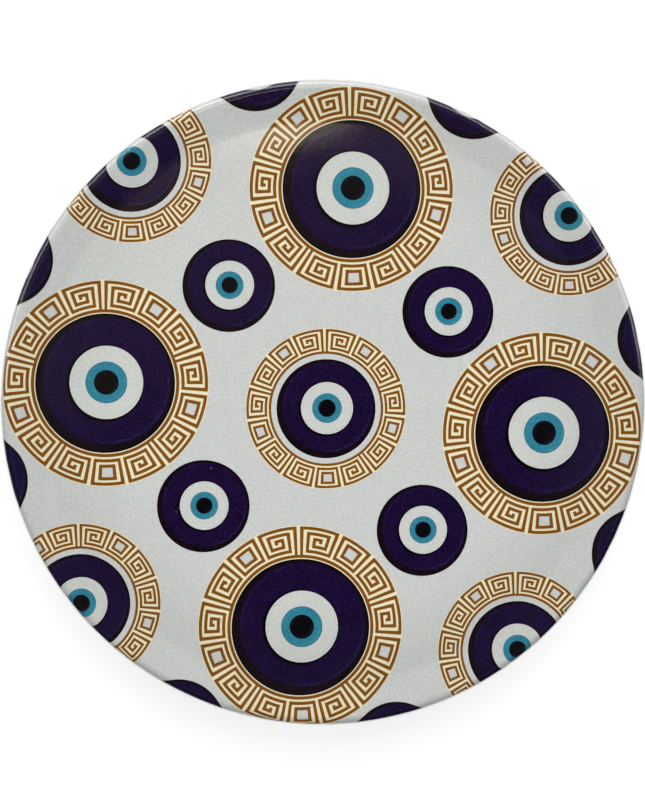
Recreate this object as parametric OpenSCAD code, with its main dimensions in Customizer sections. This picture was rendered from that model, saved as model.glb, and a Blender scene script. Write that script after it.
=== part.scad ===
// Round souvenir magnet: a pressed tin button with a wrapped paper print under clear film.
// It lies on its magnet with the printed face up. +Z points out of the printed face and +Y to
// the top of the print. The origin is the centre of the magnet's back face. Sizes are in mm.

/* [Button] */
// Diameter across the wrapped rim
button_d = 58; // [54:1:75]
// Height from the magnet's back face to the flat middle of the face
button_h = 6; // [6:0.1:7.4]
// Width of the ring around the flat middle where the face falls towards the valley
fall_w = 7.3; // [5:0.1:9]
// Slope of the face where it meets the valley, in degrees
face_slope = 5.5; // [3:0.5:8]
// Radius of the valley between the face and the rim band
valley_r = 4; // [2:0.5:5]
// Width from the bottom of the valley to the outside of the rim
rim_band_w = 3.7; // [3.4:0.1:4.2]
// Slope of the rim band, which rises from the valley to the roll, in degrees
band_slope = 6.5; // [2:0.5:7]
// Radius of the roll at the outside of the rim
roll_r = 0.9; // [0.8:0.1:1.2]

/* [Layers] */
// Thickness of the clear film
film_t = 0.1; // [0.05:0.01:0.12]
// Thickness of the printed paper
paper_t = 0.15; // [0.1:0.01:0.18]
// Thickness of the tinplate
tin_t = 0.3; // [0.2:0.02:0.36]

/* [Hem] */
// Inward lean of the skirt below the roll, in degrees
skirt_lean = 8; // [4:1:12]
// Outside radius of the bend that turns the skirt under
hem_r = 1.2; // [1.1:0.1:1.4]
// Height of the hem above the surface that the magnet lies on
hem_z = 0.9; // [0.6:0.1:1.1]
// Width of the flat of the hem
hem_w = 1.35; // [1.15:0.05:1.6]
// Length of film and paper folded back inside, over the hem
tuck_l = 1.1; // [0.6:0.1:1.2]

/* [Back plate] */
// Thickness of the plate's web
plate_t = 1.2; // [1:0.1:1.4]
// Depth of the plate's lip behind the hem
lip_recess = 0.2; // [0.1:0.05:0.3]
// Width of the lip that fills the hem's opening
lip_w = 1.5; // [1.2:0.1:2]
// Gap around the lip and under the press rim
fit_gap = 0.1; // [0.05:0.05:0.15]
// Thickness of the rim that presses against the inside of the rim band
press_rim_t = 1; // [0.8:0.1:1.2]
// Number of ribs across the plate's channel
rib_count = 8; // [6:1:12]
// Thickness of one rib
rib_t = 0.9; // [0.7:0.1:1.2]
// Wall of the collar around the magnet
collar_t = 1.5; // [1:0.1:2]
// Thickness of the collar's floor behind the magnet
pocket_floor_t = 1; // [0.8:0.1:1.2]
// Number of ejector marks on the channel's floor
mark_count = 4; // [2:1:6]
// Diameter of one ejector mark
mark_d = 3; // [2:0.5:3.5]
// Depth of one ejector mark
mark_depth = 0.15; // [0.1:0.05:0.3]

/* [Magnet] */
// Diameter of the ferrite disc
magnet_d = 30; // [28:1:32]
// Thickness of the ferrite disc
magnet_t = 3; // [2.5:0.1:3]
// Bevel on the disc's edges
magnet_bevel = 0.3; // [0.2:0.05:0.5]
// Height of the disc above its collar
magnet_proud = 0.4; // [0.2:0.05:0.5]
// Gap between the disc and its collar
magnet_gap = 0.15; // [0.1:0.05:0.25]
// Diameter of the spread adhesive
glue_d = 27; // [20:0.5:28]
// Thickness of the adhesive
glue_t = 0.15; // [0.1:0.05:0.2]

/* [Hidden] */
$fn = 180;

bend_steps = 10;

// Depths below the outside surface at which the paper, the tin and the cavity begin
paper_depth = film_t;
tin_depth = film_t + paper_t;
cavity_depth = tin_depth + tin_t;

// The half section is a chain of arcs and straights that meet without a corner. Angles are those
// of the outward normal, from +Z to the outside, so the rim band's is negative.
outer_r = button_d / 2;
valley_x = outer_r - rim_band_w;
flat_r = valley_x - valley_r * sin(face_slope) - fall_w;
fall_r = fall_w / sin(face_slope);
fall_c = [flat_r, button_h - fall_r];
valley_c = fall_c + (fall_r + valley_r) * along(face_slope);
band_start = valley_c - valley_r * along(-band_slope);
roll_x = outer_r - roll_r;
band_l = (roll_x - roll_r * sin(band_slope) - band_start.x) / cos(band_slope);
roll_c = band_start + band_l * [cos(band_slope), sin(band_slope)] - roll_r * along(-band_slope);
skirt_angle = 90 + skirt_lean;
hem_start = roll_c + (roll_r - hem_r) * along(skirt_angle);
skirt_l = (hem_start.y - hem_z - hem_r) / cos(skirt_lean);
hem_c = hem_start + skirt_l * along(180 + skirt_lean);

// The film and paper fold round the tin's edge and lie back over the hem
hem_edge_r = hem_c.x - hem_w;
fold_r = tin_depth + tin_t / 2;
fold_c = [hem_edge_r, hem_z + fold_r];

// Levels and radii of the back plate
lip_r = hem_edge_r - fold_r - fit_gap;
lip_z = hem_z + lip_recess;
seat_z = hem_z + 2 * fold_r;
web_top_z = seat_z + plate_t;
flange_r = hem_c.x;
press_rim_r = flange_r - fit_gap * 5;
press_rim_z = band_height(press_rim_r - press_rim_t, cavity_depth) - fit_gap;
pocket_r = magnet_d / 2 + magnet_gap;
collar_r = pocket_r + collar_t;
pocket_floor_z = magnet_t + glue_t;
channel_w = lip_r - lip_w - collar_r;
channel_mid_r = collar_r + channel_w / 2;
overlap = 0.2;

// Unit vector at an angle from +Z toward the outside
function along(angle) = [sin(angle), cos(angle)];

// Points along an arc, leaving out its first one
function arc(centre, r, from, to, steps) =
    [for (i = [1:steps]) centre + r * along(from + (to - from) * i / steps)];

function reversed(points) = [for (i = [len(points) - 1:-1:0]) points[i]];

// Height of the rim band over a given radius, at a depth below the outside surface
function band_height(r, depth) =
    band_start.y + (r - band_start.x) * tan(band_slope) - depth / cos(band_slope);

// Section line from the axis to the end of the hem's bend, at a depth below the outside
function skin(depth) = concat(
    [[0, button_h - depth], [flat_r, button_h - depth]],
    arc(fall_c, fall_r - depth, 0, face_slope, bend_steps),
    arc(valley_c, -valley_r - depth, face_slope, -band_slope, bend_steps),
    [roll_c + (roll_r - depth) * along(-band_slope)],
    arc(roll_c, roll_r - depth, -band_slope, skirt_angle, bend_steps),
    [hem_c + (hem_r - depth) * along(skirt_angle)],
    arc(hem_c, hem_r - depth, skirt_angle, 180, bend_steps)
);

// Section line along the flat of the hem and round the tin's edge
function fold(depth) = concat(
    [[hem_edge_r, hem_z + depth]],
    arc(fold_c, fold_r - depth, 180, 360, bend_steps)
);

// End of a folded layer, lying back over the hem
function tail(depth) = [[hem_edge_r + tuck_l, fold_c.y + fold_r - depth]];

// One layer that wraps the whole rim, between two depths
module wrapped_layer(outer_depth, inner_depth) {
    outside = concat(skin(outer_depth), fold(outer_depth), tail(outer_depth));
    inside = concat(skin(inner_depth), fold(inner_depth), tail(inner_depth));
    rotate_extrude() polygon(concat(outside, reversed(inside)));
}

// Flat ring or disc between two radii and two heights
module ring(inner_r, outer_r, low_z, high_z) {
    translate([0, 0, low_z]) linear_extrude(high_z - low_z) difference() {
        circle(outer_r);
        if (inner_r > 0) circle(inner_r);
    }
}

// Clear polyester film over the print
module clear_film() {
    color([0.93, 0.95, 0.96, 0.35]) wrapped_layer(0, paper_depth);
}

// Printed paper sheet wrapped over the tin
module printed_sheet() {
    color("whitesmoke") wrapped_layer(paper_depth, tin_depth);
}

// Pressed tinplate front with its skirt and inward hem
module front_shell() {
    outside = concat(skin(tin_depth), fold(tin_depth));
    color("silver") rotate_extrude() polygon(concat(outside, reversed(skin(cavity_depth))));
}

// Radial ribs across the plate's channel
module ribs() {
    for (i = [0:rib_count - 1]) rotate([0, 0, i * 360 / rib_count])
        translate([collar_r - overlap, -rib_t / 2, lip_z])
            cube([channel_w + 2 * overlap, rib_t, seat_z - lip_z + overlap]);
}

// Shallow round marks left by the mould's ejector pins, between ribs
module ejector_marks() {
    for (i = [0:mark_count - 1]) {
        bay = floor(i * rib_count / mark_count) + 0.5;
        rotate([0, 0, bay * 360 / rib_count]) translate([channel_mid_r, 0, seat_z - overlap])
            cylinder(h = overlap + mark_depth, d = mark_d);
    }
}

// Moulded plastic back, held between the hem and the rim band
module back_plate() {
    color("gainsboro") difference() {
        union() {
            ring(collar_r - overlap, flange_r, seat_z, web_top_z);
            ring(lip_r - lip_w, lip_r, lip_z, seat_z + overlap);
            ring(press_rim_r - press_rim_t, press_rim_r, web_top_z - overlap, press_rim_z);
            ring(pocket_r, collar_r, magnet_proud, pocket_floor_z + overlap);
            ring(0, collar_r, pocket_floor_z, pocket_floor_z + pocket_floor_t);
            ribs();
        }
        ejector_marks();
    }
}

// Adhesive spread between the magnet and the pocket's floor
module glue_pad() {
    color("khaki") ring(0, glue_d / 2, magnet_t, pocket_floor_z);
}

// Ferrite disc with bevelled edges
module magnet() {
    color("dimgray") rotate_extrude() polygon([
        [0, 0], [magnet_d / 2 - magnet_bevel, 0], [magnet_d / 2, magnet_bevel],
        [magnet_d / 2, magnet_t - magnet_bevel], [magnet_d / 2 - magnet_bevel, magnet_t], [0, magnet_t]
    ]);
}

clear_film();
printed_sheet();
front_shell();
back_plate();
glue_pad();
magnet();
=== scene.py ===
import math

import bpy
from bpy.props import FloatProperty, FloatVectorProperty, PointerProperty
from mathutils import Matrix, Vector, noise
from mathutils.geometry import delaunay_2d_cdt


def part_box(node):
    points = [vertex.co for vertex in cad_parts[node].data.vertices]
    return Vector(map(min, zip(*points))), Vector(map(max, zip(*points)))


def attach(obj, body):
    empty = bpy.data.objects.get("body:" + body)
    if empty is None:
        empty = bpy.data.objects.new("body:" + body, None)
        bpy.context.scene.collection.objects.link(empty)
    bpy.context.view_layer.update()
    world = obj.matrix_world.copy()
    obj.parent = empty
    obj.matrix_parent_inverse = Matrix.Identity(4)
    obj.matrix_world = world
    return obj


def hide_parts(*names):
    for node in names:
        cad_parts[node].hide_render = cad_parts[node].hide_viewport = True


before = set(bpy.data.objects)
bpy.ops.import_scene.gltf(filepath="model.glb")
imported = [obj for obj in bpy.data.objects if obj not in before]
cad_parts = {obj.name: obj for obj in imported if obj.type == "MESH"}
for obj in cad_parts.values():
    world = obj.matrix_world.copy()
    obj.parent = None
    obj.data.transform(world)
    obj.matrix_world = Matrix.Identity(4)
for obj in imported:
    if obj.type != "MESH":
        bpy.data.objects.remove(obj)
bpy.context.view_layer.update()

bl_info = {
    "name": "Evil Eye Button Magnet",
    "version": (1, 0, 0),
    "blender": (4, 5, 0),
    "location": "3D View > Sidebar > Button Magnet",
    "description": "Builds the wrapped print, the clear film and the finishes of a button magnet",
    "category": "Object",
}

BODY = "root"
MM = 0.001
FULL_TURN = 2 * math.pi

# Points around the rim, where the sheets are pleated, and around the calm middle of the face
RIM_STEPS = 540
FACE_STEPS = 96
# Chords in each printed circle
CIRCLE_STEPS = 120
# Steps along the flat, fall, valley, band, roll, skirt, bend, hem, fold and tuck of the section
PRINT_STEPS = (6, 8, 4, 4, 9, 3, 8, 2, 8, 2)
BACK_STEPS = (3, 6, 3, 2, 8, 2, 8, 1, 6, 2)
FILM_STEPS = (4, 9, 6, 4, 14, 3, 10, 2, 8, 2)
# How far inside the roll the face's points become as close as the rim's
FINE_MARGIN = 3.2 * MM
# How far from the sheet's edge the cuts between inks stop
EDGE_MARGIN = 0.1 * MM
# Depth of the film's back over its thickness, which keeps it clear of the print
FILM_SHARE = 0.8
# Flat size that both texture coordinates are divided by, in mm
SHEET_SPAN = 100

PAPER, NAVY, WHITE, IRIS, PUPIL, GOLD, CREAM = range(7)


def colour(red, green, blue):
    """Linear colour for a display colour given from 0 to 255."""
    return tuple(
        v / 12.92 if v <= 0.04045 else ((v + 0.055) / 1.055) ** 2.4
        for v in (red / 255, green / 255, blue / 255)
    )


def a_length(name, millimetres, text):
    return FloatProperty(
        name=name, description=text, default=millimetres * MM, unit="LENGTH", subtype="DISTANCE",
        precision=5)


def an_angle(name, degrees, text):
    value = math.radians(degrees)
    return FloatProperty(name=name, description=text, default=value, unit="ROTATION", subtype="ANGLE")


def a_share(name, value, text):
    return FloatProperty(name=name, description=text, default=value, min=0, max=1, subtype="FACTOR")


def a_number(name, value, text, unit="NONE"):
    return FloatProperty(name=name, description=text, default=value, min=0, unit=unit)


def a_colour(name, value, text):
    return FloatVectorProperty(
        name=name, description=text, default=colour(*value), size=3, min=0, max=1, subtype="COLOR")


# Sizes and colours ---------------------


class PressedShape(bpy.types.PropertyGroup):
    """Section of the wrapped sheets, as the press forms it."""

    fall: a_length("Fall", 7.3, "Width of the ring where the face falls towards the valley")
    face_slope: an_angle("Face slope", 5.5, "Slope of the face where it meets the valley")
    valley_radius: a_length("Valley radius", 4, "Radius of the valley between face and rim band")
    rim_band: a_length("Rim band", 3.7, "Width from the bottom of the valley to the outside of the rim")
    band_slope: an_angle("Band slope", 6.5, "Slope of the rim band, which rises to the roll")
    roll_radius: a_length("Roll radius", 0.9, "Radius of the roll at the outside of the rim")
    skirt_lean: an_angle("Skirt lean", 8, "Inward lean of the skirt below the roll")
    hem_radius: a_length("Hem radius", 1.2, "Radius of the bend that turns the skirt under")
    hem_width: a_length("Hem width", 1.35, "Width of the flat of the hem")
    film: a_length("Film", 0.1, "Thickness of the clear film")
    paper: a_length("Paper", 0.15, "Thickness of the printed paper")
    tin: a_length("Tin", 0.3, "Thickness of the tinplate")
    tuck: a_length("Tuck", 1.1, "Length of film and paper folded back inside")
    pleat_depth: a_length("Pleat depth", 0.045, "Depth of the pleats that the sheets make over the rim")


class BeadPrint(bpy.types.PropertyGroup):
    """Layout of the printed beads on the flat sheet."""

    spacing: a_length("Spacing", 19.71, "Distance between neighbouring keyed beads")
    turn: an_angle("Turn", 6.66, "Clockwise turn of the rows of beads")
    offset_x: a_length("Offset X", -0.129, "Place of the middle bead to the right of the button's axis")
    offset_y: a_length("Offset Y", -0.437, "Place of the middle bead above the button's axis")
    bead_turn: an_angle("Bead turn", 1.3, "Anticlockwise turn of each bead")
    large_radius: a_length("Large bead", 6.167, "Radius of the large beads")
    medium_radius: a_length("Medium bead", 4.422, "Radius of the medium beads")
    small_radius: a_length("Small bead", 4.104, "Radius of the small beads")
    white_share: a_share("White share", 0.526, "Radius of the white of the eye over the bead's radius")
    iris_share: a_share("Iris share", 0.2998, "Radius of the iris over the bead's radius")
    pupil_share: a_share("Pupil share", 0.177, "Radius of the pupil over the bead's radius")
    key_radius: a_length("Key radius", 6.4, "Middle radius of the base line of the large key pattern")
    key_pitch: a_length("Key pitch", 0.472, "Distance between the lines of the large key pattern")
    key_stroke: a_length("Key stroke", 0.286, "Thickness of the lines of the large key pattern")
    key_heart: a_length("Key heart", 0.65, "Height of the space at the heart of a spiral")
    medium_key_share: a_share("Medium key share", 0.783, "Size of the medium pattern over the large")


class InkColours(bpy.types.PropertyGroup):
    """Colours of the print."""

    paper: a_colour("Paper", (201, 203, 200), "Coated paper")
    navy: a_colour("Navy", (27, 14, 50), "Body of a bead")
    shade: a_colour("Shade", (22, 13, 20), "Shaded edge of a bead")
    glint: a_colour("Glint", (38, 30, 72), "Curved glint inside a bead's edge")
    white: a_colour("White", (201, 203, 199), "White of the eye")
    iris: a_colour("Iris", (49, 126, 147), "Iris")
    pupil: a_colour("Pupil", (11, 10, 15), "Pupil")
    gold: a_colour("Gold", (128, 79, 24), "Key pattern")
    cream: a_colour("Cream", (231, 224, 191), "Ground of the key pattern")


class BackFinish(bpy.types.PropertyGroup):
    """Colours of the pieces behind the print."""

    tin: a_colour("Tin", (196, 198, 200), "Bright tinplate")
    plate: a_colour("Back plate", (214, 214, 209), "Moulded plastic")
    ferrite: a_colour("Ferrite", (52, 52, 55), "Sintered magnet")
    glue: a_colour("Glue", (205, 190, 140), "Cured adhesive")


class Studio(bpy.types.PropertyGroup):
    """Camera, lights and floor."""

    distance: a_length("Distance", 142, "Distance from the camera to the crown of the face")
    lean: an_angle("Lean", 3.8, "Lean of the camera towards the left")
    tip: an_angle("Tip", 1.4, "Tip of the camera towards the top of the print")
    lens: a_number("Lens", 88.94, "Focal length", "CAMERA")
    aim_x: a_length("Aim X", -0.459, "Point aimed at, to the right of the button's axis")
    aim_y: a_length("Aim Y", 0.033, "Point aimed at, above the button's axis")
    key_power: a_number("Key power", 74.5, "Power of the main soft light", "POWER")
    fill_power: a_number("Fill power", 7, "Power of the low light in front", "POWER")
    sky: a_number("Sky", 0.305, "Brightness of the room around the button")
    backdrop: a_number("Backdrop", 0.9, "Brightness of the room as the camera sees it")
    lift: a_number("Lift", 0.825, "Light that the floor gives the camera by itself")
    mirrored_floor: a_share("Mirrored floor", 0.6, "Display brightness of the mirrored floor")
    glow: a_number("Glow", 0.45, "Brightness of the overhead card")
    spot_glow: a_number("Spot glow", 1.35, "Light added by the overhead card's small patch")
    edge_glow: a_number("Edge glow", 2.5, "Brightness of the low card that the rim mirrors")


# Section of the wrapped sheets ---------


def along(angle):
    """Unit vector at an angle from +Z towards the outside."""
    return Vector((math.sin(angle), math.cos(angle)))


def across(angle):
    """Unit vector along the surface, a quarter turn on from its outward normal."""
    return Vector((math.cos(angle), -math.sin(angle)))


class Skin:
    """The half section's outside line: arcs and straights from the crown to the tucked edge."""

    def __init__(self, shape):
        low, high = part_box("clear_film")
        outer_r, top = high[0], high[2]
        hem_z = low[2]
        face_slope, band_slope = shape.face_slope, shape.band_slope
        valley, roll = shape.valley_radius, shape.roll_radius
        flat = outer_r - shape.rim_band - valley * math.sin(face_slope) - shape.fall
        fall_arc = shape.fall / math.sin(face_slope)
        fall_c = Vector((flat, top - fall_arc))
        valley_c = fall_c + (fall_arc + valley) * along(face_slope)
        band_start = valley_c - valley * along(-band_slope)
        band = (outer_r - roll - roll * math.sin(band_slope) - band_start.x) / math.cos(band_slope)
        roll_c = band_start + band * across(-band_slope) - roll * along(-band_slope)
        skirt_angle = math.pi / 2 + shape.skirt_lean
        hem_top = roll_c + (roll - shape.hem_radius) * along(skirt_angle)
        skirt = (hem_top.y - hem_z - shape.hem_radius) / math.cos(shape.skirt_lean)
        hem_c = hem_top + skirt * along(math.pi + shape.skirt_lean)
        fold_r = shape.film + shape.paper + shape.tin / 2
        fold_c = Vector((hem_c.x - shape.hem_width, hem_z + fold_r))

        self.film = shape.film
        self.paper_back = shape.film + shape.paper
        self.runs = []
        self._straight(Vector((0, top)), flat, 0)
        self._arc(fall_c, fall_arc, 0, face_slope)
        self._arc(valley_c, -valley, face_slope, -band_slope)
        self._straight(band_start, band, -band_slope)
        self.roll_start = self.length
        self._arc(roll_c, roll, -band_slope, skirt_angle)
        self.skirt_start = self.length
        self._straight(roll_c + roll * along(skirt_angle), skirt, skirt_angle)
        self._arc(hem_c, shape.hem_radius, skirt_angle, math.pi)
        self.hem_end = self.length
        self._straight(Vector((hem_c.x, hem_z)), shape.hem_width, math.pi)
        self._arc(fold_c, fold_r, math.pi, FULL_TURN)
        self._straight(fold_c + Vector((0, fold_r)), shape.tuck, FULL_TURN)

    @property
    def length(self):
        return self.runs[-1]["end"] if self.runs else 0

    def _arc(self, centre, radius, start_angle, end_angle):
        turn = end_angle - start_angle
        span = (radius - self.film) * turn
        self._add(span, centre=centre, radius=radius, angle=start_angle, turn=turn, step=Vector((0, 0)))

    def _straight(self, start, span, angle):
        centre, step = start - self.film * along(angle), span * across(angle)
        self._add(span, centre=centre, radius=self.film, angle=angle, turn=0, step=step)

    def _add(self, span, **run):
        self.runs.append({"start": self.length, "end": self.length + span, **run})

    def at(self, distance, depth):
        """Radius, height and outward angle at a distance along the print and a depth below it."""
        run = next((r for r in self.runs if distance <= r["end"]), self.runs[-1])
        share = (distance - run["start"]) / (run["end"] - run["start"])
        angle = run["angle"] + share * run["turn"]
        point = run["centre"] + share * run["step"] + (run["radius"] - depth) * along(angle)
        return point.x, point.y, angle

    def stations(self, counts):
        """Distances that split each run into a number of steps, from the crown out."""
        found = [0]
        for run, count in zip(self.runs, counts):
            span = run["end"] - run["start"]
            found += [run["start"] + span * (i + 1) / count for i in range(count)]
        return found


def smooth_step(low, high, value):
    t = min(max((value - low) / (high - low), 0), 1)
    return t * t * (3 - 2 * t)


class Pleats:
    """Small folds where the flat sheets are gathered over the rim."""

    # Closeness of the fine and coarse folds, and of the slow change in their depth
    FINE, COARSE, SLOW = 17, 7, 1.3
    # Share of the coarse folds in the depth, and the least depth of a fold over the deepest
    COARSE_SHARE, LEAST = 0.6, 0.3
    # Sharpness of a fold's crest, and its sideways drift for each mm down the skirt
    SHARPNESS, DRIFT = 3.2, 0.05
    # How far before the roll the folds begin, and past its end are full
    LEAD_IN, LEAD_OUT = 1.2 * MM, 0.4 * MM

    def __init__(self, skin, depth):
        self.skin = skin
        self.depth = depth

    def _ridge(self, turn, pitch, seed):
        value = noise.noise(Vector((pitch * math.cos(turn), pitch * math.sin(turn), seed)))
        return (1 - min(abs(value) * self.SHARPNESS, 1)) ** 2

    def at(self, distance, turn):
        """Depth that a fold adds at a place on the sheet."""
        skin = self.skin
        start = smooth_step(skin.roll_start - self.LEAD_IN, skin.skirt_start + self.LEAD_OUT, distance)
        if start == 0:
            return 0
        gather = start ** 2 * (1 - 0.5 * smooth_step(skin.hem_end, skin.length, distance))
        drift = (distance - skin.roll_start) / MM * self.DRIFT
        place = Vector((self.SLOW * math.cos(turn), self.SLOW * math.sin(turn), 4))
        depth = self.LEAST + (1 - self.LEAST) * (0.5 + 0.5 * noise.noise(place))
        fold = self.COARSE_SHARE * self._ridge(turn, self.COARSE, 1 + drift)
        fold += (1 - self.COARSE_SHARE) * self._ridge(turn, self.FINE, 2 + 2 * drift)
        return self.depth * gather * (1 - fold * depth)


def sheet_point(skin, pleats, distance, turn, depth, pleated):
    """Place and normal on a wrapped sheet."""
    # Small steps along and around the sheet, over which its slope is taken
    step_s, step_t = 0.02 * MM, 0.0006
    fold = pleats.at(distance, turn) if pleated else 0
    radius, height, angle = skin.at(distance, depth + fold)
    out = Vector((math.cos(turn), math.sin(turn), 0))
    normal = math.sin(angle) * out + Vector((0, 0, math.cos(angle)))
    if fold:
        rise_s = (pleats.at(distance + step_s, turn) - fold) / step_s
        rise_t = (pleats.at(distance, turn + step_t) - fold) / (step_t * radius)
        normal += rise_s * (math.cos(angle) * out - Vector((0, 0, math.sin(angle))))
        normal += rise_t * Vector((-out.y, out.x, 0))
    return Vector((out.x * radius, out.y * radius, height)), normal.normalized()


# The printed pattern -------------------


def turned(point, angle):
    """A flat point turned anticlockwise about the origin."""
    c, s = math.cos(angle), math.sin(angle)
    return Vector((point.x * c - point.y * s, point.x * s + point.y * c))


class Bead:
    """One printed eye on the flat sheet, with its key pattern if it has one."""

    # Place of the eye in the bead, over the bead's radius
    EYE_SHIFT = Vector((0.018, 0.012))

    def __init__(self, centre, radius, key_scale, turn, shares):
        self.centre = centre
        self.radius = radius
        self.key_scale = key_scale
        self.turn = turn
        self.shares = shares
        self.ground = CREAM if key_scale == 1 else PAPER

    def local(self, point):
        """A sheet point in the bead's own upright axes, over its radius."""
        return turned(point - self.centre, -self.turn) / self.radius

    def place(self, point):
        """The sheet point for one in the bead's own axes."""
        return self.centre + turned(point, self.turn) * self.radius

    def circles(self):
        """Centre and radius of each printed circle, over the bead's radius."""
        yield Vector((0, 0)), 1
        for share in self.shares:
            yield self.EYE_SHIFT, share

    def ink(self, point):
        """The ink at a point in the bead's own axes, with the coordinates that its shading uses."""
        eye = point - self.EYE_SHIFT
        for share, ink in zip(reversed(self.shares), (PUPIL, IRIS, WHITE)):
            if eye.length < share:
                return ink, eye
        return NAVY, point


class KeyRing:
    """The meander around a bead, on a grid of radii and of degrees clockwise from the top."""

    # One repeat, the step between its upright lines, its first line, and half a line's width
    REPEAT, LINE_STEP, FIRST_LINE, HALF_LINE = 72, 4.2, 2.05, 1.08
    # Ground left outside the outermost line
    MARGIN = 0.07 * MM

    def __init__(self, print_sizes):
        base, pitch, heart = print_sizes.key_radius, print_sizes.key_pitch, print_sizes.key_heart
        self.half = print_sizes.key_stroke / 2
        lines = [self.FIRST_LINE + i * self.LINE_STEP for i in range(8)]
        inner = [base, base + pitch, base + 2 * pitch]
        outer = [inner[2] + heart + i * pitch for i in range(3)]
        self.strokes = []
        self._line((0, inner[0]), (self.REPEAT, inner[0]))
        self._spiral(lines[:6], inner, outer)
        self._box(lines[6], inner[1], outer[2])
        self._box(lines[7], inner[2], outer[1])
        self._spiral([self.REPEAT - a for a in lines[:6]], inner, outer)
        self.clear = (lines[7] + self.HALF_LINE, self.REPEAT - lines[7] - self.HALF_LINE,
                      inner[2] + self.half, outer[1] - self.half)
        self.inner_edge = base - self.half
        self.outer_edge = outer[2] + self.half + self.MARGIN
        angles = {0, self.REPEAT / 2, self.REPEAT}
        radii = {self.inner_edge, self.outer_edge}
        for a0, a1, r0, r1 in self.strokes:
            angles |= {max(a0, 0), min(a1, self.REPEAT)}
            radii |= {r0, r1}
        self.angles = self._distinct(angles, 0.01)
        self.radii = self._distinct(radii, 0.001 * MM)

    @staticmethod
    def _distinct(values, gap):
        kept = []
        for value in sorted(values):
            if not kept or value - kept[-1] > gap:
                kept.append(value)
        return kept

    def _line(self, *corners):
        """Strokes from corner to corner, each corner an angle and a radius."""
        for (a0, r0), (a1, r1) in zip(corners, corners[1:]):
            self.strokes.append((
                min(a0, a1) - self.HALF_LINE, max(a0, a1) + self.HALF_LINE,
                min(r0, r1) - self.half, max(r0, r1) + self.half))

    def _box(self, angle, r0, r1):
        """A box in the middle of the repeat, from its first angle."""
        last = self.REPEAT - angle
        self._line((angle, r0), (last, r0), (last, r1), (angle, r1), (angle, r0))

    def _spiral(self, lines, inner, outer):
        """A square spiral that starts at the base line and winds inwards to a short tail."""
        tail = (inner[2] + outer[0]) / 2 + self.half
        self._line(
            (lines[0], inner[0]), (lines[0], outer[2]), (lines[5], outer[2]), (lines[5], inner[1]),
            (lines[1], inner[1]), (lines[1], outer[1]), (lines[4], outer[1]), (lines[4], inner[2]),
            (lines[2], inner[2]), (lines[2], outer[0]), (lines[3], outer[0]), (lines[3], tail))

    def ink(self, angle, radius, ground):
        """The ink at an angle and a radius of the large pattern."""
        if radius < self.inner_edge:
            return ground
        if radius > self.outer_edge:
            return PAPER
        a = angle % self.REPEAT
        if any(a0 < a < a1 and r0 < radius < r1 for a0, a1, r0, r1 in self.strokes):
            return GOLD
        a0, a1, r0, r1 = self.clear
        return PAPER if a0 < a < a1 and r0 < radius < r1 else CREAM

    def borders(self, ground):
        """Grid points and the edges between them where the ink changes, for one whole ring."""
        angles, radii = self.angles, self.radii
        mid = [(angles[i] + angles[i + 1]) / 2 for i in range(len(angles) - 1)]
        rings = [(radii[j] + radii[j + 1]) / 2 for j in range(len(radii) - 1)]
        rings = [0, *rings, 2 * radii[-1]]
        inks = [[self.ink(a, r, ground) for r in rings] for a in mid]
        for group in range(round(360 / self.REPEAT)):
            turn = group * self.REPEAT
            for i, column in enumerate(inks):
                for j, radius in enumerate(radii):
                    if column[j] != column[j + 1]:
                        yield (turn + angles[i], radius), (turn + angles[i + 1], radius)
                if i == 0:
                    continue
                for j in range(len(radii) - 1):
                    if column[j + 1] != inks[i - 1][j + 1]:
                        yield (turn + angles[i], radii[j]), (turn + angles[i], radii[j + 1])


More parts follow.
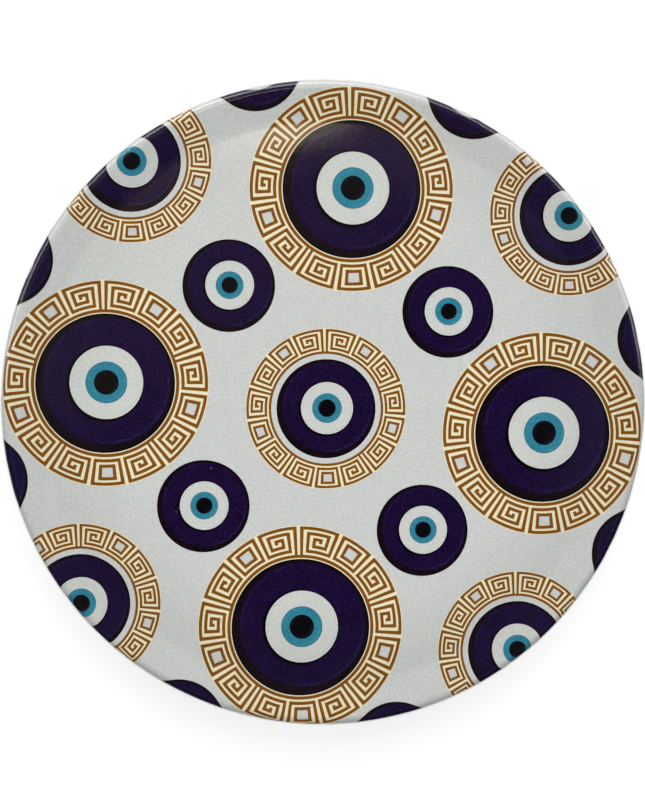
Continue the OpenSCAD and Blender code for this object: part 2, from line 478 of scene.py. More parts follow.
class Pattern:
    """Rows of beads on the flat sheet: keyed beads large and medium by turns, small ones between."""

    def __init__(self, sizes, reach):
        self.sizes = sizes
        self.keys = KeyRing(sizes)
        self.origin = Vector((sizes.offset_x, sizes.offset_y))
        c, s = math.cos(sizes.turn), math.sin(sizes.turn)
        self.right = Vector((c, -s)) * sizes.spacing
        self.up = Vector((s, c)) * sizes.spacing
        self.beads = {}
        count = math.ceil(reach / sizes.spacing) + 1
        for i in range(-2 * count, 2 * count + 1):
            for j in range(-2 * count, 2 * count + 1):
                if i % 2 == j % 2:
                    self._bead(i, j)

    def _bead(self, i, j):
        """A bead at half-spacing steps. Two odd steps make a small one between the rows."""
        sizes = self.sizes
        if i % 2:
            radius, scale = sizes.small_radius, 0
        elif (i + j) // 2 % 2:
            radius, scale = sizes.large_radius, 1
        else:
            radius, scale = sizes.medium_radius, sizes.medium_key_share
        centre = self.origin + self.right * i / 2 + self.up * j / 2
        shares = (sizes.white_share, sizes.iris_share, sizes.pupil_share)
        self.beads[i, j] = Bead(centre, radius, scale, sizes.bead_turn, shares)

    def near(self, point):
        """The keyed bead and the small bead whose cells hold a point."""
        away = point - self.origin
        u = 2 * away.dot(self.right) / self.right.length_squared
        v = 2 * away.dot(self.up) / self.up.length_squared
        keyed = (2 * round(u / 2), 2 * round(v / 2))
        small = (2 * math.floor(u / 2) + 1, 2 * math.floor(v / 2) + 1)
        return [self.beads[step] for step in (keyed, small) if step in self.beads]

    def ink(self, point):
        """The ink at a sheet point, and its coordinates in the bead it belongs to."""
        for bead in self.near(point):
            local = bead.local(point)
            if local.length < 1:
                return bead.ink(local)
            if not bead.key_scale:
                continue
            radius = local.length * bead.radius / bead.key_scale
            if radius < self.keys.outer_edge:
                angle = math.degrees(math.atan2(local.x, local.y)) % 360
                return self.keys.ink(angle, radius, bead.ground), local
        return PAPER, Vector((0, 0))

    def borders(self, reach):
        """Edges between inks over the flat sheet, as pairs of points."""
        for bead in self.beads.values():
            widest = max(bead.radius, self.keys.outer_edge * bead.key_scale)
            if bead.centre.length - widest > reach:
                continue
            for middle, share in bead.circles():
                ring = [
                    bead.place(middle + share * Vector((math.cos(t), math.sin(t))))
                    for t in (FULL_TURN * k / CIRCLE_STEPS for k in range(CIRCLE_STEPS))
                ]
                yield from zip(ring, ring[1:] + ring[:1])
            if bead.key_scale:
                for ends in self.keys.borders(bead.ground):
                    yield tuple(self._key_point(bead, *end) for end in ends)

    def _key_point(self, bead, angle, radius):
        a = math.radians(angle)
        return bead.place(Vector((math.sin(a), math.cos(a))) * radius * bead.key_scale / bead.radius)


# Meshes --------------------------------


def new_object(name, data):
    """An object with the given data, in the scene."""
    made = bpy.data.objects.new(name, data)
    bpy.context.scene.collection.objects.link(made)
    return made


class SheetMesh:
    """Collects points with their normals, and faces with their ink and texture coordinates."""

    def __init__(self):
        self.points, self.normals = [], []
        self.faces, self.inks, self.sheet_uv, self.bead_uv = [], [], [], []

    def add_point(self, place):
        self.points.append(place[0])
        self.normals.append(place[1])
        return len(self.points) - 1

    def add_face(self, corners, ink, sheet_uv, bead_uv=None):
        self.faces.append(corners)
        self.inks.append(ink)
        self.sheet_uv += sheet_uv
        self.bead_uv += bead_uv or [(0, 0)] * len(corners)

    def build(self, name, materials, slot):
        """Makes the object, with smooth normals taken from the section and not from the faces."""
        mesh = bpy.data.meshes.new(name)
        mesh.from_pydata([tuple(p) for p in self.points], [], self.faces)
        for material in materials:
            mesh.materials.append(material)
        mesh.polygons.foreach_set("material_index", self.inks)
        for layer_name, values in (("sheet", self.sheet_uv), ("bead", self.bead_uv)):
            layer = mesh.uv_layers.new(name=layer_name)
            layer.data.foreach_set("uv", [v for pair in values for v in pair])
        mesh.shade_smooth()
        mesh.normals_split_custom_set_from_vertices([tuple(n) for n in self.normals])
        mesh.update()
        if mesh.validate():
            raise RuntimeError(f"{name} has faces that don't hold together")
        piece = new_object(name, mesh)
        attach(piece, BODY)
        return piece


def sheet_coordinates(distance, turn):
    """Texture coordinates of a place on the flat sheet."""
    scale = distance / MM / SHEET_SPAN
    return (0.5 + scale * math.cos(turn), 0.5 + scale * math.sin(turn))


def join_rings(build, first, second, first_at, second_at, ink, flipped=False):
    """Faces between two rings of points at their distances. The first ring may be a single point."""
    for k in range(RIM_STEPS):
        n = (k + 1) % RIM_STEPS
        a, b = FULL_TURN * k / RIM_STEPS, FULL_TURN * (k + 1) / RIM_STEPS
        corners, at = [first[k], second[k], second[n]], [(first_at, a), (second_at, a), (second_at, b)]
        if first[n] != first[k]:
            corners, at = [*corners, first[n]], [*at, (first_at, b)]
        if flipped:
            corners, at = corners[::-1], at[::-1]
        build.add_face(corners, ink, [sheet_coordinates(*place) for place in at])


def ring_grid(build, skin, pleats, stations, depth, pleated, flipped, ink):
    """A wrapped surface as rings of faces around the crown, and the last ring's points."""
    turns = [FULL_TURN * k / RIM_STEPS for k in range(RIM_STEPS)]
    crown = build.add_point(sheet_point(skin, pleats, 0, 0, depth, False))
    last, last_at = [crown] * RIM_STEPS, 0
    for distance in stations[1:]:
        places = [sheet_point(skin, pleats, distance, t, depth, pleated) for t in turns]
        ring = [build.add_point(place) for place in places]
        join_rings(build, last, ring, last_at, distance, ink, flipped)
        last, last_at = ring, distance
    if flipped:
        for index in range(crown, len(build.normals)):
            build.normals[index] = -build.normals[index]
    return last


def printed_face(build, skin, pleats, pattern):
    """The flat sheet cut along every border between inks, then wrapped, and its edge points."""
    reach = skin.length
    points, index, edges = [], {}, []

    def point_number(point):
        key = (round(point.x / MM, 5), round(point.y / MM, 5))
        if key not in index:
            index[key] = len(points)
            points.append(Vector(key))
        return index[key]

    limit = reach - EDGE_MARGIN
    for start, end in pattern.borders(reach):
        if start.length < limit and end.length < limit:
            edges.append((point_number(start), point_number(end)))
    for distance in skin.stations(PRINT_STEPS):
        count = FACE_STEPS if distance < skin.roll_start - FINE_MARGIN else RIM_STEPS
        for k in range(count if distance else 1):
            turn = FULL_TURN * k / count
            point_number(distance * Vector((math.cos(turn), math.sin(turn))))

    flat, _, faces, *_ = delaunay_2d_cdt(points, edges, [], 0, 1e-5, False)
    numbers, edge = [], {}
    for point in flat:
        distance, turn = point.length * MM, math.atan2(point.y, point.x)
        place = sheet_point(skin, pleats, min(distance, reach), turn, skin.film, True)
        numbers.append(build.add_point(place))
        if distance > reach - 0.001 * MM:
            edge[round(turn / FULL_TURN * RIM_STEPS) % RIM_STEPS] = numbers[-1]
    for corners in faces:
        ends = [flat[c] for c in corners]
        middle = sum(ends, Vector((0, 0))) / len(ends) * MM
        ink, local = pattern.ink(middle)
        bead_uv = [(0, 0)] * len(ends)
        if local.length:
            near = min(pattern.near(middle), key=lambda b: (b.centre - middle).length)
            shift = near.local(middle) - local
            bead_uv = [tuple(near.local(p * MM) - shift) for p in ends]
        build.add_face(
            [numbers[c] for c in corners], ink,
            [(0.5 + p.x / SHEET_SPAN, 0.5 + p.y / SHEET_SPAN) for p in ends], bead_uv,
        )
    return [edge[k] for k in range(RIM_STEPS)]


# Node building -------------------------


def add_node(tree, kind, inputs=None, **settings):
    """Adds a shader node. A socket given as an input is linked, any other value is set on it."""
    node = tree.nodes.new("ShaderNode" + kind)
    for name, value in settings.items():
        setattr(node, name, value)
    for name, value in (inputs or {}).items():
        if isinstance(value, bpy.types.NodeSocket):
            tree.links.new(value, node.inputs[name])
        else:
            node.inputs[name].default_value = value
    return node


def math_node(tree, operation, *values, clamp=False):
    inputs = dict(enumerate(values))
    return add_node(tree, "Math", inputs, operation=operation, use_clamp=clamp).outputs[0]


def times(tree, first, second):
    return math_node(tree, "MULTIPLY", first, second)


def times_plus(tree, first, second, more):
    return math_node(tree, "MULTIPLY_ADD", first, second, more)


def minus(tree, first, second):
    return math_node(tree, "SUBTRACT", first, second)


def mix_colours(tree, share, first, second):
    inputs = {0: share, 6: first, 7: second}
    return add_node(tree, "Mix", inputs, data_type="RGBA").outputs[2]


def spread(tree, value, low, high, to_low=0, to_high=1):
    """Maps a range smoothly onto another."""
    inputs = {0: value, 1: low, 2: high, 3: to_low, 4: to_high}
    return add_node(tree, "MapRange", inputs, interpolation_type="SMOOTHSTEP").outputs[0]


def distance_node(tree, place, middle):
    inputs = {0: place, 1: middle}
    return add_node(tree, "VectorMath", inputs, operation="DISTANCE").outputs["Value"]


def noise_node(tree, place, scale, detail=2, roughness=0.5):
    inputs = {"Vector": place, "Scale": scale, "Detail": detail, "Roughness": roughness}
    return add_node(tree, "TexNoise", inputs).outputs[0]


def cell_node(tree, place, scale):
    """Distance to the nearest of the points scattered through space."""
    inputs = {"Vector": place, "Scale": scale}
    return add_node(tree, "TexVoronoi", inputs, feature="F1").outputs["Distance"]


def rgba(value):
    return (*value, 1)


def grey(level):
    """An opaque linear grey."""
    return (level, level, level, 1)


def new_group(name, inputs, outputs):
    """A shader node group. Each input has a default, and each output a value of the same kind."""
    tree = bpy.data.node_groups.new(name, "ShaderNodeTree")
    for side, sockets in (("INPUT", inputs), ("OUTPUT", outputs)):
        for label, value in sockets.items():
            kind = {4: "Color", 3: "Vector"}[len(value)] if isinstance(value, tuple) else "Float"
            socket = tree.interface.new_socket(name=label, in_out=side, socket_type="NodeSocket" + kind)
            socket.default_value = value
    return tree, tree.nodes.new("NodeGroupInput").outputs, tree.nodes.new("NodeGroupOutput").inputs


def shared_group(tree, name, build, inputs):
    """Outputs of a node for the named group, which is built at its first use."""
    group = bpy.data.node_groups.get(name) or build(name)
    return add_node(tree, "Group", inputs, node_tree=group).outputs


def build_ink_grain_and_edge_shade(name):
    """Fine unevenness of ink or coating on paper, with specks of dust and painted shade that darkens
    the border of the print.
    """
    tree, given, out = new_group(
        name,
        {
            "Vector": (0, 0, 0), "Color": grey(0.5), "Grain": 0.1, "Mottle": 0.05,
            "Specks": 0.4, "Painted Edge Shade": 0.12, "Roughness": 0.5,
        },
        {"Color": grey(0), "Roughness": 0, "Height": 0},
    )
    fine = noise_node(tree, given["Vector"], 420, 3, 0.8)
    broad = noise_node(tree, given["Vector"], 60, 4, 0.6)
    lift = times_plus(tree, minus(tree, fine, 0.5), given["Grain"], 1)
    lift = times_plus(tree, minus(tree, broad, 0.5), given["Mottle"], lift)
    # Painted shade: the print goes darker from 17 mm to 27 mm out on the flat sheet, over the rim band
    away = distance_node(tree, given["Vector"], (0.5, 0.5, 0))
    painted_edge_shade = times(tree, spread(tree, away, 0.17, 0.27), given["Painted Edge Shade"])
    marks = spread(tree, noise_node(tree, given["Vector"], 260, 1), 0.66, 0.76)
    lift = times_plus(tree, marks, -0.09, lift)
    # Near-black tone that the painted edge shade mixes into the print
    inputs, edge_shade_tone = {0: given["Color"], 3: lift}, rgba((0.024, 0.022, 0.02))
    toned = add_node(tree, "VectorMath", inputs, operation="SCALE").outputs[0]
    toned = mix_colours(tree, painted_edge_shade, toned, edge_shade_tone)
    cells = cell_node(tree, given["Vector"], 45)
    rare = spread(tree, noise_node(tree, given["Vector"], 70, 0), 0.58, 0.62)
    speck = times(tree, spread(tree, cells, 0.035, 0.02), rare)
    speck = times(tree, speck, given["Specks"])
    tree.links.new(mix_colours(tree, speck, toned, rgba(colour(214, 212, 208))), out["Color"])
    rough = times_plus(tree, minus(tree, broad, 0.5), 0.12, given["Roughness"])
    tree.links.new(rough, out["Roughness"])
    tree.links.new(fine, out["Height"])
    return tree


def build_bead_shading(name):
    """Shaded crescent, curved glint and dark edges of a bead, from coordinates centred on it."""
    tree, given, out = new_group(
        name,
        {
            "Vector": (0, 0, 0), "Color": grey(0.5),
            "Shade": grey(0), "Shade Radius": 0.895, "Shade Shift": 0.032, "Shade Softness": 0.03,
            "Shade Strength": 1, "Glint": grey(0), "Glint Radius": 0.885, "Glint Width": 0.03,
            "Glint Strength": 0.9, "Edge": grey(0), "Edge Radius": 0.975,
            "Inner Edge Radius": 0.56, "Edge Softness": 0.012,
        },
        {"Color": grey(0)},
    )
    split = add_node(tree, "SeparateXYZ", {0: given["Vector"]})
    x, y = split.outputs[0], split.outputs[1]

    def radius_about(shift):
        dx = minus(tree, x, shift)
        dy = minus(tree, y, shift)
        squares = times_plus(tree, dx, dx, times(tree, dy, dy))
        return math_node(tree, "SQRT", squares)

    centred = radius_about(0)
    shifted = radius_about(given["Shade Shift"])
    past = minus(tree, shifted, given["Shade Radius"])
    shade = math_node(tree, "DIVIDE", past, given["Shade Softness"], clamp=True)
    shade = times(tree, shade, given["Shade Strength"])
    shaded = mix_colours(tree, shade, given["Color"], given["Shade"])

    # The glint is widest to the lower right, and comes back faintly opposite
    slant = times(tree, minus(tree, x, y), math.sqrt(0.5))
    slant = math_node(tree, "DIVIDE", slant, math_node(tree, "MAXIMUM", centred, 0.01))
    near = spread(tree, slant, 0.45, 0.95)
    far = spread(tree, slant, -0.55, -0.95, 0, 0.55)
    facing = math_node(tree, "ADD", near, far)
    off = math_node(tree, "ABSOLUTE", minus(tree, shifted, given["Glint Radius"]))
    off = math_node(tree, "DIVIDE", off, given["Glint Width"], clamp=True)
    line = minus(tree, 1, off)
    glint = times(tree, times(tree, line, facing), given["Glint Strength"])
    lit = mix_colours(tree, glint, shaded, given["Glint"])

    outer = minus(tree, centred, given["Edge Radius"])
    outer = math_node(tree, "DIVIDE", outer, given["Edge Softness"], clamp=True)
    inner = minus(tree, given["Inner Edge Radius"], centred)
    inner = math_node(tree, "DIVIDE", inner, given["Edge Softness"], clamp=True)
    edged = mix_colours(tree, math_node(tree, "MAXIMUM", outer, inner), lit, given["Edge"])
    tree.links.new(edged, out["Color"])
    return tree


def build_surface_wear(name):
    """Fine scratches and small dust marks, from coordinates in metres."""
    tree, given, out = new_group(
        name,
        {"Vector": (0, 0, 0), "Scratches": 0.5, "Dust": 0.3, "Roughness": 0.2, "Variation": 0.1},
        {"Roughness": 0, "Height": 0, "Dust": 0},
    )
    # Scratches are a noise turned out of the axes and drawn out into lines
    lean, squeeze = (0.2, 0.1, 0.6), (1, 14, 1)
    drawn = add_node(tree, "Mapping", {0: given["Vector"], 2: lean, 3: squeeze})
    scratch = spread(tree, noise_node(tree, drawn.outputs[0], 260, 3), 0.62, 0.7)
    scratch = times(tree, scratch, given["Scratches"])
    smudge = noise_node(tree, given["Vector"], 140, 3)
    cells = cell_node(tree, given["Vector"], 420)
    rare = spread(tree, noise_node(tree, given["Vector"], 700, 0), 0.66, 0.7)
    speck = times(tree, spread(tree, cells, 0.1, 0.06), rare)
    dust = times(tree, speck, given["Dust"])
    smudged = minus(tree, smudge, 0.5)
    rough = times_plus(tree, smudged, given["Variation"], given["Roughness"])
    rough = times_plus(tree, scratch, 0.15, rough)
    rough = math_node(tree, "MULTIPLY_ADD", dust, 0.4, rough, clamp=True)
    height = times_plus(tree, scratch, -0.6, times(tree, smudge, 0.6))
    tree.links.new(rough, out["Roughness"])
    tree.links.new(height, out["Height"])
    tree.links.new(dust, out["Dust"])
    return tree


def new_material(name):
    """A material with an empty tree."""
    material = bpy.data.materials.new(name)
    material.use_nodes = True
    material.node_tree.nodes.clear()
    return material, material.node_tree


def show(tree, shader):
    """Makes a shader the material's surface."""
    add_node(tree, "OutputMaterial", {"Surface": shader.outputs[0]})


def bump(tree, height, strength, depth):
    inputs = {"Height": height, "Strength": strength, "Distance": depth * MM}
    return add_node(tree, "Bump", inputs).outputs[0]


def ink_material(name, ink_colour, roughness, grain, mottle, shading=None):
    """One ink, or the bare paper, under the film."""
    material, tree = new_material(name)
    sheet = add_node(tree, "UVMap", None, uv_map="sheet").outputs[0]
    tone = rgba(ink_colour)
    if shading:
        bead = add_node(tree, "UVMap", None, uv_map="bead").outputs[0]
        inputs = {"Vector": bead, "Color": tone, **shading}
        tone = shared_group(tree, "Bead Shading", build_bead_shading, inputs)["Color"]
    printed = shared_group(tree, "Ink Grain and Edge Shade", build_ink_grain_and_edge_shade, {
        "Vector": sheet, "Color": tone, "Grain": grain, "Mottle": mottle, "Roughness": roughness})
    shader = add_node(tree, "BsdfPrincipled", {
        "Base Color": printed["Color"], "Roughness": printed["Roughness"],
        "Normal": bump(tree, printed["Height"], strength=0.12, depth=0.02),
        "Specular IOR Level": 0,
    })
    show(tree, shader)
    return material


def wear_node(tree, place, scratches, dust, roughness, variation):
    """Outputs of the shared wear, at a place in metres."""
    return shared_group(tree, "Surface Wear", build_surface_wear, {
        "Vector": place, "Scratches": scratches, "Dust": dust, "Roughness": roughness,
        "Variation": variation})


def film_material():
    """Clear polyester: it mirrors by angle and lets the print show through."""
    material, tree = new_material("clear_polyester")
    place = add_node(tree, "TexCoord").outputs["Object"]
    wear = wear_node(tree, place, scratches=0.25, dust=0.6, roughness=0.07, variation=0.04)
    ripple = times_plus(tree, noise_node(tree, place, 520, 3, 0.6), 1.6, wear["Height"])
    normal = bump(tree, ripple, strength=0.3, depth=0.02)
    facing = add_node(tree, "Fresnel", {"IOR": 1.58, "Normal": normal}).outputs[0]
    inside = add_node(tree, "NewGeometry").outputs["Backfacing"]
    share = times(tree, facing, minus(tree, 1, inside))
    gloss = add_node(tree, "BsdfAnisotropic", {
        "Color": grey(1), "Roughness": wear["Roughness"], "Normal": normal})
    clear = add_node(tree, "BsdfTransparent", {"Color": grey(0.985)})
    show(tree, add_node(tree, "MixShader", {0: share, 1: clear.outputs[0], 2: gloss.outputs[0]}))
    return material


def solid_material(name, base, roughness, variation, scratches, dust, metallic=0,
                   grain=0.1, grain_scale=900, bump_strength=0.3, bump_depth=0.05):
    """A finish for a solid piece, from coordinates in metres."""
    material, tree = new_material(name)
    place = add_node(tree, "TexCoord").outputs["Object"]
    wear = wear_node(tree, place, scratches, dust, roughness, variation)
    fine = noise_node(tree, place, grain_scale, 4, 0.6)
    broad = noise_node(tree, place, 120, 2)
    dark = tuple(c * (1 - grain) for c in base)
    light = tuple(min(c * (1 + grain), 1) for c in base)
    tone = mix_colours(tree, spread(tree, fine, 0.3, 0.7), rgba(dark), rgba(light))
    tone = mix_colours(tree, times(tree, broad, 0.25), tone, rgba(dark))
    tone = mix_colours(tree, wear["Dust"], tone, rgba(colour(205, 203, 198)))
    relief = times_plus(tree, fine, 0.6, wear["Height"])
    shader = add_node(tree, "BsdfPrincipled", {
        "Base Color": tone, "Roughness": wear["Roughness"], "Metallic": metallic,
        "Normal": bump(tree, relief, bump_strength, bump_depth)})
    show(tree, shader)
    return material


def finish_node(name, material):
    """Gives a CAD node its material."""
    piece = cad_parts[name]
    if not piece.material_slots:
        piece.data.materials.append(material)
    for material_slot in piece.material_slots:
        material_slot.material = material


def eye_shading(glint, radius, width, strength, shift, edge, edge_radius, inner_edge=0,
                softness=0.012):
    """Settings of the bead's shading for an ink of the eye, which has no crescent."""
    return {
        "Shade Strength": 0, "Shade Shift": shift, "Glint": rgba(glint), "Glint Radius": radius,
        "Glint Width": width, "Glint Strength": strength, "Edge": rgba(edge),
        "Edge Radius": edge_radius, "Inner Edge Radius": inner_edge, "Edge Softness": softness}


# Operators -----------------------------


class BUTTON_OT_printed_sheet(bpy.types.Operator):
    """Wrap the printed paper over the tin"""

    bl_idname = "button.printed_sheet"
    bl_label = "Printed Sheet"

    def execute(self, context):
        scene = context.scene
        skin = Skin(scene.button_shape)
        pleats = Pleats(skin, scene.button_shape.pleat_depth)
        pattern = Pattern(scene.button_print, skin.length)
        inks = scene.button_inks
        materials = [
            ink_material("coated_paper", inks.paper, 0.55, 0.65, 0.12),
            ink_material("navy_ink", inks.navy, 0.5, 4.2, 0.9, {
                "Shade": rgba(inks.shade), "Glint": rgba(inks.glint), "Edge": rgba(colour(9, 5, 10))}),
            ink_material("eye_white", inks.white, 0.55, 0.6, 0.12, eye_shading(
                colour(186, 187, 184), 0.49, 0.014, 0.7, 0.01, colour(120, 118, 122), 0.528,
                softness=0.01)),
            ink_material("iris_ink", inks.iris, 0.5, 1.3, 0.3, eye_shading(
                colour(92, 160, 174), 0.262, 0.013, 0.5, 0.006, colour(58, 104, 120), 0.287,
                inner_edge=0.18)),
            ink_material("pupil_ink", inks.pupil, 0.5, 3, 0.5, eye_shading(
                colour(44, 38, 42), 0.145, 0.013, 0.7, 0.004, inks.pupil, 0.2)),
            ink_material("gold_ink", inks.gold, 0.5, 1.2, 0.3),
            ink_material("cream_ink", inks.cream, 0.55, 0.5, 0.1),
        ]
        build = SheetMesh()
        outside = printed_face(build, skin, pleats, pattern)
        stations = skin.stations(BACK_STEPS)
        inside = ring_grid(build, skin, pleats, stations, skin.paper_back, False, True, PAPER)
        join_rings(build, outside, inside, skin.length, skin.length, PAPER)
        piece = build.build("printed_paper", materials, "print")
        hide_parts("printed_sheet")
        return {"FINISHED"}


class BUTTON_OT_clear_film(bpy.types.Operator):
    """Wrap the clear film over the print"""

    bl_idname = "button.clear_film"
    bl_label = "Clear Film"

    def execute(self, context):
        shape = context.scene.button_shape
        skin = Skin(shape)
        pleats = Pleats(skin, shape.pleat_depth)
        stations = skin.stations(FILM_STEPS)
        build = SheetMesh()
        outside = ring_grid(build, skin, pleats, stations, 0, True, False, 0)
        inside = ring_grid(build, skin, pleats, stations, shape.film * FILM_SHARE, True, True, 0)
        join_rings(build, outside, inside, skin.length, skin.length, 0)
        piece = build.build("polyester_film", [film_material()], "film")
        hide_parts("clear_film")
        return {"FINISHED"}


class BUTTON_OT_front_shell(bpy.types.Operator):
    """Finish the pressed tinplate shell"""

    bl_idname = "button.front_shell"
    bl_label = "Front Shell"

    def execute(self, context):
        finish_node("front_shell", solid_material(
            "bright_tinplate", context.scene.button_finish.tin, 0.24, 0.12, 0.8, 0.2, metallic=1,
            grain=0.05))
        return {"FINISHED"}


class BUTTON_OT_back_plate(bpy.types.Operator):
    """Finish the moulded back plate"""

    bl_idname = "button.back_plate"
    bl_label = "Back Plate"

    def execute(self, context):
        finish_node("back_plate", solid_material(
            "moulded_plastic", context.scene.button_finish.plate, 0.42, 0.14, 0.5, 0.35, grain=0.04,
            grain_scale=2400, bump_strength=0.35))
        return {"FINISHED"}


class BUTTON_OT_magnet(bpy.types.Operator):
    """Finish the ferrite magnet and the adhesive that holds it"""

    bl_idname = "button.magnet"
    bl_label = "Magnet and Glue"

    def execute(self, context):
        finish = context.scene.button_finish
        finish_node("magnet", solid_material(
            "sintered_ferrite", finish.ferrite, 0.6, 0.2, 0.9, 0.5, grain=0.25, grain_scale=1600,
            bump_strength=0.4, bump_depth=0.03))
        finish_node("glue_pad", solid_material(
            "cured_adhesive", finish.glue, 0.25, 0.1, 0.1, 0.1, grain=0.1, grain_scale=500))
        return {"FINISHED"}


def soft_light(name, place, target, size, power):
    """A soft light that faces a point. The film doesn't mirror it."""
    data = bpy.data.lights.new(name, "AREA")
    data.shape = "RECTANGLE"
    data.size, data.size_y = size
    data.energy = power
    light = new_object(name, data)
    aim = Vector(target) - Vector(place)
    light.matrix_world = Matrix.Translation(place) @ aim.to_track_quat("-Z", "Y").to_matrix().to_4x4()
    light.visible_glossy = False


def new_board(name, corners, faces, material):
    """An object of one material, for the stage."""
    mesh = bpy.data.meshes.new(name)
    mesh.from_pydata(corners, [], faces)
    mesh.materials.append(material)
    return new_object(name, mesh)


class BUTTON_OT_stage(bpy.types.Operator):
    """Set up the floor, the lights and the camera"""

    bl_idname = "button.stage"
    bl_label = "Stage"

    # Half the width of the floor and of the overhead card
    HALF = 0.6
    # Display greys of the floor: as it lights the button, and what its glow to the camera is added to
    PALE, GLOWING = 248.5, 124
    # Place and size of each light, and the point that both face
    KEY_PLACE, KEY_SIZE = (0, 1.6, 1.76), (1.8, 1.8)
    FILL_PLACE, FILL_SIZE = (-0.5, -1.5, 0.42), (1.6, 0.6)
    FACED = (0, 0, 0.003)

    def execute(self, context):
        scene = context.scene
        self.floor(scene.button_studio)
        self.overhead_card(scene.button_studio)
        self.low_card(scene.button_studio)
        self.lights(scene)
        self.camera(scene)
        return {"FINISHED"}

    def floor(self, studio):
        half = self.HALF
        corners = [(-half, -half, 0), (half, -half, 0), (half, half, 0), (-half, half, 0)]
        material, tree = new_material("pale_board")
        # The camera sees an even glowing board, and the film a dim one
        levels = (self.PALE, self.GLOWING, studio.mirrored_floor * 255)
        pale, glowing, mirrored = [rgba(colour(level, level, level)) for level in levels]
        rays = add_node(tree, "LightPath").outputs
        seen = rays["Is Camera Ray"]
        tone = mix_colours(tree, seen, pale, glowing)
        tone = mix_colours(tree, rays["Is Glossy Ray"], tone, mirrored)
        light = times(tree, seen, studio.lift)
        shader = add_node(tree, "BsdfPrincipled", {
            "Base Color": tone, "Roughness": 0.9, "Specular IOR Level": 0.1,
            "Emission Color": grey(1), "Emission Strength": light})
        show(tree, shader)
        floor = new_board("pale_floor", corners, [(0, 1, 2, 3)], material)

    def overhead_card(self, studio):
        """A dim card that only the film mirrors, warm at the far left and cool in front."""
        cool_light, warm_light, spot_light = (0.16, 0.19, 0.24), (1, 0.74, 0.34), (1, 0.92, 0.74)
        half, height = self.HALF, 0.5
        corners = [(-half, -half), (-half, half), (half, half), (half, -half)]
        tree, place = self.card("warm_card", [(x, y, height) for x, y in corners], [(0, 1, 2, 3)])

        def patch(x, y, edge, full, *shares):
            """A round patch, from nothing at the edge to its full strength."""
            return spread(tree, distance_node(tree, place, (x, y, height)), edge, full, *shares)

        warm = patch(-0.07, 0.24, 0.28, 0)
        warm = math_node(tree, "MAXIMUM", warm, patch(-0.12, 0.22, 0.285, 0.22, 0, 0.42))
        cool = patch(0, -0.12, 0.13, 0.34)
        spot = patch(-0.002, 0.215, 0.076, 0.035)
        tone = mix_colours(tree, warm, rgba(cool_light), rgba(warm_light))
        tone = mix_colours(tree, spot, tone, rgba(spot_light))
        light = times(tree, math_node(tree, "MAXIMUM", warm, cool), studio.glow)
        light = times_plus(tree, spot, studio.spot_glow, light)
        show(tree, add_node(tree, "Emission", {"Color": tone, "Strength": light}))

    def low_card(self, studio):
        """A bright half ring behind the far rim, which only the film mirrors."""
        radius, top, panels, first, sweep = 0.3, 0.26, 38, -5, 190
        turns = [math.radians(first + sweep * k / panels) for k in range(panels + 1)]
        rim = [(radius * math.cos(t), radius * math.sin(t), z) for t in turns for z in (0, top)]
        faces = [(k, k + 2, k + 3, k + 1) for k in range(0, 2 * panels, 2)]
        tree, place = self.card("low_card", rim, faces)
        axes = add_node(tree, "SeparateXYZ", {0: place}).outputs
        # It fades out downwards, upwards and towards its two ends
        light = times(tree, spread(tree, axes[2], 0.01, 0.07), spread(tree, axes[2], top, 0.14))
        light = times(tree, light, spread(tree, axes[1], 0, 0.05))
        strong = spread(tree, distance_node(tree, place, (-0.09, 0.286, 0.05)), 0.2, 0)
        light = times(tree, light, times_plus(tree, strong, 0.8, 1))
        light = times(tree, light, studio.edge_glow)
        show(tree, add_node(tree, "Emission", {"Color": grey(1), "Strength": light}))

    def card(self, name, corners, faces):
        """A staged card, as its material's tree and the place of a point on it."""
        material, tree = new_material(name)
        card = new_board(name, corners, faces, material)
        card.visible_camera = card.visible_diffuse = False
        card.visible_shadow = card.visible_transmission = False
        return tree, add_node(tree, "TexCoord").outputs["Object"]

    def lights(self, scene):
        studio = scene.button_studio
        soft_light("soft_key", self.KEY_PLACE, self.FACED, self.KEY_SIZE, studio.key_power)
        soft_light("low_fill", self.FILL_PLACE, self.FACED, self.FILL_SIZE, studio.fill_power)
        world = bpy.data.worlds.new("quiet_room")
        world.use_nodes = True
        scene.world = world
        tree = world.node_tree
        tree.nodes.clear()
        seen = add_node(tree, "LightPath").outputs["Is Camera Ray"]
        strength = times_plus(tree, seen, studio.backdrop - studio.sky, studio.sky)
        sky = add_node(tree, "Background", {"Color": grey(1), "Strength": strength})
        add_node(tree, "OutputWorld", {"Surface": sky.outputs[0]})
        world.cycles_visibility.glossy = False
        scene.view_settings.view_transform = "Standard"

    def camera(self, scene):
        studio = scene.button_studio
        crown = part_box("clear_film")[1][2]
        data = bpy.data.cameras.new("camera")
        data.sensor_fit = "HORIZONTAL"
        data.sensor_width = 36
        data.lens = studio.lens
        data.clip_start = 0.005
        camera = new_object("camera", data)
        target = Vector((studio.aim_x, studio.aim_y, crown))
        back = Vector((-math.tan(studio.lean), math.tan(studio.tip), 1)).normalized()
        right = Vector((0, 1, 0)).cross(back).normalized()
        up = back.cross(right)
        turn = Matrix((right, up, back)).transposed().to_4x4()
        camera.matrix_world = Matrix.Translation(target + studio.distance * back) @ turn
        scene.camera = camera


class BUTTON_PT_panel(bpy.types.Panel):
    """Lists the steps that build the button magnet"""

    bl_idname = "BUTTON_PT_panel"
    bl_label = "Button Magnet"
    bl_space_type = "VIEW_3D"
    bl_region_type = "UI"
    bl_category = "Button Magnet"

    def draw(self, context):
        for operator in OPERATORS:
            self.layout.operator(operator.bl_idname)


OPERATORS = (
    BUTTON_OT_printed_sheet,
    BUTTON_OT_clear_film,
    BUTTON_OT_front_shell,
    BUTTON_OT_back_plate,
    BUTTON_OT_magnet,
    BUTTON_OT_stage,
)
SETTINGS = {
    "button_shape": PressedShape,
    "button_print": BeadPrint,
    "button_inks": InkColours,
    "button_finish": BackFinish,
    "button_studio": Studio,
}


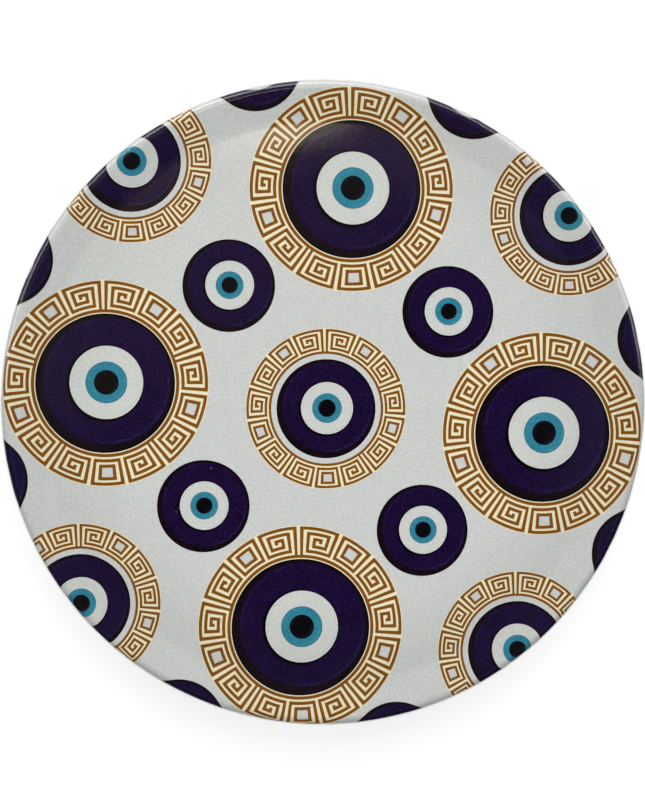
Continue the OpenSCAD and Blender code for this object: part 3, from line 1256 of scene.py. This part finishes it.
def register():
    for cls in (*SETTINGS.values(), *OPERATORS, BUTTON_PT_panel):
        bpy.utils.register_class(cls)
    for name, cls in SETTINGS.items():
        setattr(bpy.types.Scene, name, PointerProperty(type=cls))


def unregister():
    for name in SETTINGS:
        delattr(bpy.types.Scene, name)
    for cls in reversed((*SETTINGS.values(), *OPERATORS, BUTTON_PT_panel)):
        bpy.utils.unregister_class(cls)


def main():
    register()
    for operator in OPERATORS:
        group, step = operator.bl_idname.split(".")
        getattr(getattr(bpy.ops, group), step)()


if __name__ == "__main__":
    main()
